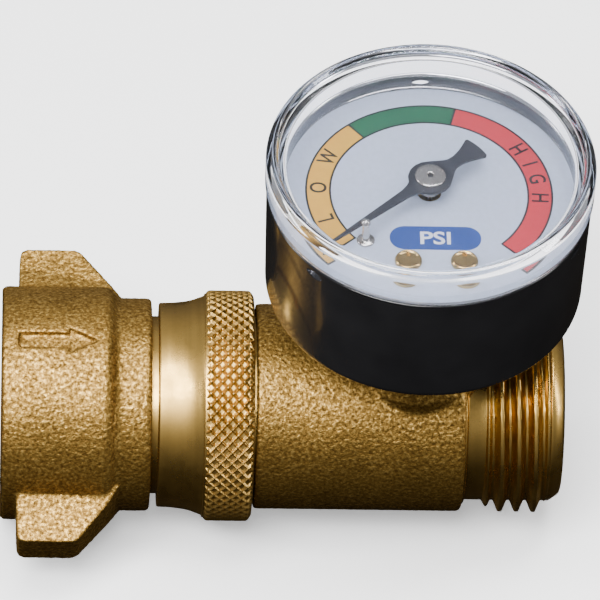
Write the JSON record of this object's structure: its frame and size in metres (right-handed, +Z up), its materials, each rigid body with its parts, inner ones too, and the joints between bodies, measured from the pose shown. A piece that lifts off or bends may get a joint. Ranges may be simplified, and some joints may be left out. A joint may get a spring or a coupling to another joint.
{
  "type": "water pressure regulator",
  "caption": "Inline brass hose-thread pressure regulator with winged swivel inlet, knurled cap and a top-mounted dial pressure gauge.",
  "frame": {"origin": "centre of the inlet coupling's open rim, on the flow axis", "axes": "+X along the flow, from inlet to outlet; +Z up, along the gauge's axis; +Y to the back, as the gauge is read from -Y"},
  "size_m": [0.0757, 0.0422, 0.0632],
  "materials": {
    "cast_brass": "sand-cast, unpolished",
    "machined_brass": "turned, satin to bright",
    "dial_screw_brass": "turned, bright rim",
    "spring_steel": "drawn, dull",
    "nickel": "nickel plated",
    "phosphor_bronze": "drawn, dull",
    "black_rubber": "matt",
    "black_plastic": "glossy",
    "white_plastic": "moulded",
    "clear_plastic": "clear, polished",
    "dial_print": "printed, satin",
    "pointer_enamel": "satin"
  },
  "bodies": {
    "regulator": {"inlet_cap": "machined_brass", "swivel_snap_ring": "spring_steel", "inlet_filter": "spring_steel", "seat_holder": "white_plastic", "seat_disc": "black_rubber", "stem_o_ring": "black_rubber", "body_seal_ring": "black_rubber", "regulating_spring": "spring_steel", "regulator_body": "cast_brass", "gauge_socket": "machined_brass", "gauge_case": "black_plastic", "case_screw_left": "spring_steel", "case_screw_right": "spring_steel", "gauge_lens": "clear_plastic", "bourdon_tube": "phosphor_bronze", "hairspring": "phosphor_bronze", "back_plate": "machined_brass", "front_plate": "machined_brass", "pillar_1": "machined_brass", "pillar_2": "machined_brass", "pillar_3": "machined_brass", "plate_screw_1": "spring_steel", "plate_screw_2": "spring_steel", "plate_screw_3": "spring_steel", "dial": "dial_print", "dial_post_left": "machined_brass", "dial_post_right": "machined_brass", "dial_screw_left": "dial_screw_brass", "dial_screw_right": "dial_screw_brass", "stop_pin": "nickel"},
    "coupling": {"swivel_coupling": "cast_brass", "hose_washer": "black_rubber"},
    "piston": {"piston": "machined_brass", "piston_o_ring": "black_rubber"},
    "pointer": {"pinion_arbor": "machined_brass", "pointer": "pointer_enamel", "pointer_hub": "nickel"},
    "sector": {"sector_gear": "machined_brass"},
    "tube_end": {"tube_tip": "machined_brass", "tube_link": "machined_brass"}
  },
  "joints": [
    {"name": "coupling_swivel", "type": "hinge", "parent": "regulator", "child": "coupling", "pos_m": [0, 0, 0], "axis": [1, 0, 0], "continuous": true},
    {"name": "piston_slide", "type": "slide", "parent": "regulator", "child": "piston", "axis": [-1, 0, 0], "range_m": [0, 0.0016], "stiffness_N_per_m": 6000, "springref_m": -0.004, "deforming": ["regulating_spring"]},
    {"name": "pointer_turn", "type": "hinge", "parent": "regulator", "child": "pointer", "pos_m": [0.05454, 0, 0.0432], "axis": [0, 0, -1], "range_deg": [0, 267.01], "deforming": ["hairspring"]},
    {"name": "sector_swing", "type": "hinge", "parent": "regulator", "child": "sector", "pos_m": [0.04579, 0, 0.0321], "axis": [0, 0, 1], "range_deg": [0, 44.5], "stiffness_Nm_per_rad": 0.0005, "springref_deg": -5.73},
    {"name": "tube_tip_travel", "type": "slide", "parent": "regulator", "child": "tube_end", "axis": [0, -1, 0], "range_m": [0, 0.00227], "deforming": ["bourdon_tube"]}
  ],
  "couplings": [
    {"joint": "pointer_turn", "follows": "sector_swing", "ratio": 6},
    {"joint": "tube_tip_travel", "follows": "sector_swing", "m_per_rad": 0.0029252}
  ]
}
